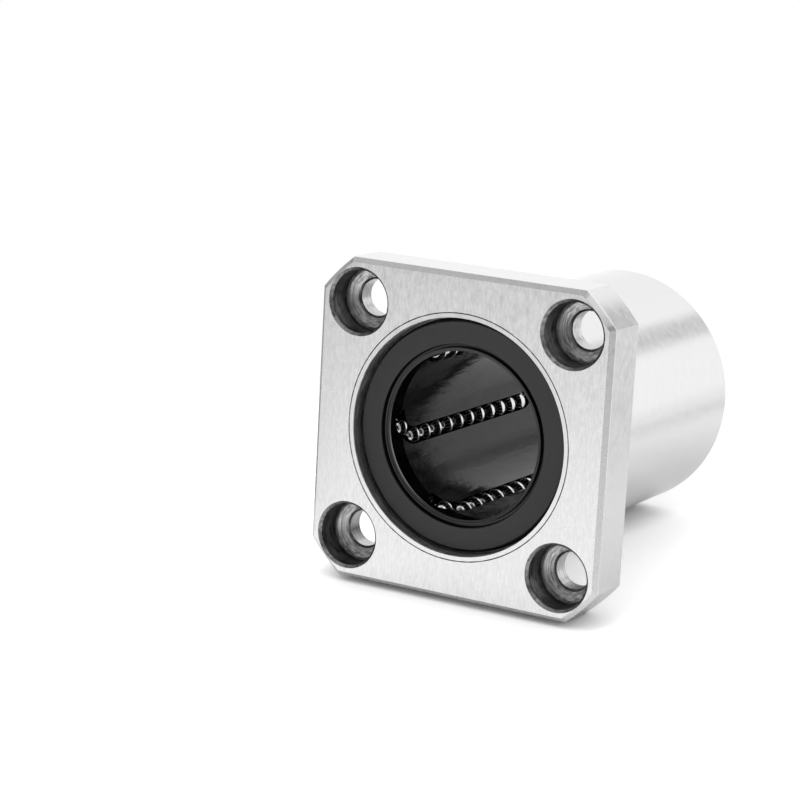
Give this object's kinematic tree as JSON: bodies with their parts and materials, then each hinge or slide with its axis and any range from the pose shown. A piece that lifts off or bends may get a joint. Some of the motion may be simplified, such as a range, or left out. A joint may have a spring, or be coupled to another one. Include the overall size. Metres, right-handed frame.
{
  "type": "linear ball bushing",
  "caption": "Linear ball bushing with a square flange: steel sleeve, resin ball retainer, recirculating balls and a lip seal at each end, for a round shaft.",
  "frame": {"origin": "on the bore's axis at mid-length, which is the centre of the whole part's box", "axes": "+Y along the bore, from the flange's front face towards the plain end; +X and +Z square to the flange's sides"},
  "size_m": [0.058, 0.064, 0.058],
  "materials": {
    "ground_steel": "ground bearing steel, bright satin, with a black relief neck behind the flange",
    "black_resin": "moulded black resin, glossy",
    "seal_rubber": "matte moulded rubber",
    "spring_steel": "dark oiled spring steel",
    "ball_steel": "polished bearing balls"
  },
  "bodies": {
    "housing": {"flanged_sleeve": "ground_steel", "ball_retainer": "black_resin", "front_seal": "seal_rubber", "rear_seal": "seal_rubber", "front_retaining_ring": "spring_steel", "rear_retaining_ring": "spring_steel"},
    "circuit1_loaded_row": {"circuit1_loaded_row": "ball_steel"},
    "circuit1_return_row": {"circuit1_return_row": "ball_steel"},
    "circuit1_front_turn": {"circuit1_front_turn_ball_1": "ball_steel", "circuit1_front_turn_ball_2": "ball_steel"},
    "circuit1_rear_turn": {"circuit1_rear_turn_ball_1": "ball_steel", "circuit1_rear_turn_ball_2": "ball_steel"},
    "circuit2_loaded_row": {"circuit2_loaded_row": "ball_steel"},
    "circuit2_return_row": {"circuit2_return_row": "ball_steel"},
    "circuit2_front_turn": {"circuit2_front_turn_ball_1": "ball_steel", "circuit2_front_turn_ball_2": "ball_steel"},
    "circuit2_rear_turn": {"circuit2_rear_turn_ball_1": "ball_steel", "circuit2_rear_turn_ball_2": "ball_steel"},
    "circuit3_loaded_row": {"circuit3_loaded_row": "ball_steel"},
    "circuit3_return_row": {"circuit3_return_row": "ball_steel"},
    "circuit3_front_turn": {"circuit3_front_turn_ball_1": "ball_steel", "circuit3_front_turn_ball_2": "ball_steel"},
    "circuit3_rear_turn": {"circuit3_rear_turn_ball_1": "ball_steel", "circuit3_rear_turn_ball_2": "ball_steel"},
    "circuit4_loaded_row": {"circuit4_loaded_row": "ball_steel"},
    "circuit4_return_row": {"circuit4_return_row": "ball_steel"},
    "circuit4_front_turn": {"circuit4_front_turn_ball_1": "ball_steel", "circuit4_front_turn_ball_2": "ball_steel"},
    "circuit4_rear_turn": {"circuit4_rear_turn_ball_1": "ball_steel", "circuit4_rear_turn_ball_2": "ball_steel"},
    "circuit5_loaded_row": {"circuit5_loaded_row": "ball_steel"},
    "circuit5_return_row": {"circuit5_return_row": "ball_steel"},
    "circuit5_front_turn": {"circuit5_front_turn_ball_1": "ball_steel", "circuit5_front_turn_ball_2": "ball_steel"},
    "circuit5_rear_turn": {"circuit5_rear_turn_ball_1": "ball_steel", "circuit5_rear_turn_ball_2": "ball_steel"},
    "circuit6_loaded_row": {"circuit6_loaded_row": "ball_steel"},
    "circuit6_return_row": {"circuit6_return_row": "ball_steel"},
    "circuit6_front_turn": {"circuit6_front_turn_ball_1": "ball_steel", "circuit6_front_turn_ball_2": "ball_steel"},
    "circuit6_rear_turn": {"circuit6_rear_turn_ball_1": "ball_steel", "circuit6_rear_turn_ball_2": "ball_steel"}
  },
  "joints": [
    {"name": "circuit1_loaded_slide", "type": "slide", "parent": "housing", "child": "circuit1_loaded_row", "axis": [0, 1, 0], "range_m": [-0.001, 0.001]},
    {"name": "circuit1_return_slide", "type": "slide", "parent": "housing", "child": "circuit1_return_row", "axis": [0, 1, 0], "range_m": [-0.001, 0.001]},
    {"name": "circuit1_front_turn_hinge", "type": "hinge", "parent": "housing", "child": "circuit1_front_turn", "pos_m": [0.01717, -0.02, 0.00016], "axis": [0.9853, 0, 0.1709], "range_deg": [-15, 15]},
    {"name": "circuit1_rear_turn_hinge", "type": "hinge", "parent": "housing", "child": "circuit1_rear_turn", "pos_m": [0.01717, 0.02, 0.00016], "axis": [0.9853, 0, 0.1709], "range_deg": [-15, 15]},
    {"name": "circuit2_loaded_slide", "type": "slide", "parent": "housing", "child": "circuit2_loaded_row", "axis": [0, 1, 0], "range_m": [-0.001, 0.001]},
    {"name": "circuit2_return_slide", "type": "slide", "parent": "housing", "child": "circuit2_return_row", "axis": [0, 1, 0], "range_m": [-0.001, 0.001]},
    {"name": "circuit2_front_turn_hinge", "type": "hinge", "parent": "housing", "child": "circuit2_front_turn", "pos_m": [0.00845, -0.02, 0.01494], "axis": [0.3446, 0, 0.9387], "range_deg": [-15, 15]},
    {"name": "circuit2_rear_turn_hinge", "type": "hinge", "parent": "housing", "child": "circuit2_rear_turn", "pos_m": [0.00845, 0.02, 0.01494], "axis": [0.3446, 0, 0.9387], "range_deg": [-15, 15]},
    {"name": "circuit3_loaded_slide", "type": "slide", "parent": "housing", "child": "circuit3_loaded_row", "axis": [0, 1, 0], "range_m": [-0.001, 0.001]},
    {"name": "circuit3_return_slide", "type": "slide", "parent": "housing", "child": "circuit3_return_row", "axis": [0, 1, 0], "range_m": [-0.001, 0.001]},
    {"name": "circuit3_front_turn_hinge", "type": "hinge", "parent": "housing", "child": "circuit3_front_turn", "pos_m": [-0.00872, -0.02, 0.01479], "axis": [-0.6407, 0, 0.7678], "range_deg": [-15, 15]},
    {"name": "circuit3_rear_turn_hinge", "type": "hinge", "parent": "housing", "child": "circuit3_rear_turn", "pos_m": [-0.00872, 0.02, 0.01479], "axis": [-0.6407, 0, 0.7678], "range_deg": [-15, 15]},
    {"name": "circuit4_loaded_slide", "type": "slide", "parent": "housing", "child": "circuit4_loaded_row", "axis": [0, 1, 0], "range_m": [-0.001, 0.001]},
    {"name": "circuit4_return_slide", "type": "slide", "parent": "housing", "child": "circuit4_return_row", "axis": [0, 1, 0], "range_m": [-0.001, 0.001]},
    {"name": "circuit4_front_turn_hinge", "type": "hinge", "parent": "housing", "child": "circuit4_front_turn", "pos_m": [-0.01717, -0.02, -0.00016], "axis": [-0.9853, 0, -0.1709], "range_deg": [-15, 15]},
    {"name": "circuit4_rear_turn_hinge", "type": "hinge", "parent": "housing", "child": "circuit4_rear_turn", "pos_m": [-0.01717, 0.02, -0.00016], "axis": [-0.9853, 0, -0.1709], "range_deg": [-15, 15]},
    {"name": "circuit5_loaded_slide", "type": "slide", "parent": "housing", "child": "circuit5_loaded_row", "axis": [0, 1, 0], "range_m": [-0.001, 0.001]},
    {"name": "circuit5_return_slide", "type": "slide", "parent": "housing", "child": "circuit5_return_row", "axis": [0, 1, 0], "range_m": [-0.001, 0.001]},
    {"name": "circuit5_front_turn_hinge", "type": "hinge", "parent": "housing", "child": "circuit5_front_turn", "pos_m": [-0.00845, -0.02, -0.01494], "axis": [-0.3446, 0, -0.9387], "range_deg": [-15, 15]},
    {"name": "circuit5_rear_turn_hinge", "type": "hinge", "parent": "housing", "child": "circuit5_rear_turn", "pos_m": [-0.00845, 0.02, -0.01494], "axis": [-0.3446, 0, -0.9387], "range_deg": [-15, 15]},
    {"name": "circuit6_loaded_slide", "type": "slide", "parent": "housing", "child": "circuit6_loaded_row", "axis": [0, 1, 0], "range_m": [-0.001, 0.001]},
    {"name": "circuit6_return_slide", "type": "slide", "parent": "housing", "child": "circuit6_return_row", "axis": [0, 1, 0], "range_m": [-0.001, 0.001]},
    {"name": "circuit6_front_turn_hinge", "type": "hinge", "parent": "housing", "child": "circuit6_front_turn", "pos_m": [0.00872, -0.02, -0.01479], "axis": [0.6407, 0, -0.7678], "range_deg": [-15, 15]},
    {"name": "circuit6_rear_turn_hinge", "type": "hinge", "parent": "housing", "child": "circuit6_rear_turn", "pos_m": [0.00872, 0.02, -0.01479], "axis": [0.6407, 0, -0.7678], "range_deg": [-15, 15]}
  ],
  "couplings": [
    {"joint": "circuit1_return_slide", "follows": "circuit1_loaded_slide", "ratio": -1},
    {"joint": "circuit1_front_turn_hinge", "follows": "circuit1_loaded_slide", "rad_per_m": -250},
    {"joint": "circuit1_rear_turn_hinge", "follows": "circuit1_loaded_slide", "rad_per_m": -250},
    {"joint": "circuit2_return_slide", "follows": "circuit2_loaded_slide", "ratio": -1},
    {"joint": "circuit2_front_turn_hinge", "follows": "circuit2_loaded_slide", "rad_per_m": -250},
    {"joint": "circuit2_rear_turn_hinge", "follows": "circuit2_loaded_slide", "rad_per_m": -250},
    {"joint": "circuit3_return_slide", "follows": "circuit3_loaded_slide", "ratio": -1},
    {"joint": "circuit3_front_turn_hinge", "follows": "circuit3_loaded_slide", "rad_per_m": -250},
    {"joint": "circuit3_rear_turn_hinge", "follows": "circuit3_loaded_slide", "rad_per_m": -250},
    {"joint": "circuit4_return_slide", "follows": "circuit4_loaded_slide", "ratio": -1},
    {"joint": "circuit4_front_turn_hinge", "follows": "circuit4_loaded_slide", "rad_per_m": -250},
    {"joint": "circuit4_rear_turn_hinge", "follows": "circuit4_loaded_slide", "rad_per_m": -250},
    {"joint": "circuit5_return_slide", "follows": "circuit5_loaded_slide", "ratio": -1},
    {"joint": "circuit5_front_turn_hinge", "follows": "circuit5_loaded_slide", "rad_per_m": -250},
    {"joint": "circuit5_rear_turn_hinge", "follows": "circuit5_loaded_slide", "rad_per_m": -250},
    {"joint": "circuit6_return_slide", "follows": "circuit6_loaded_slide", "ratio": -1},
    {"joint": "circuit6_front_turn_hinge", "follows": "circuit6_loaded_slide", "rad_per_m": -250},
    {"joint": "circuit6_rear_turn_hinge", "follows": "circuit6_loaded_slide", "rad_per_m": -250}
  ]
}
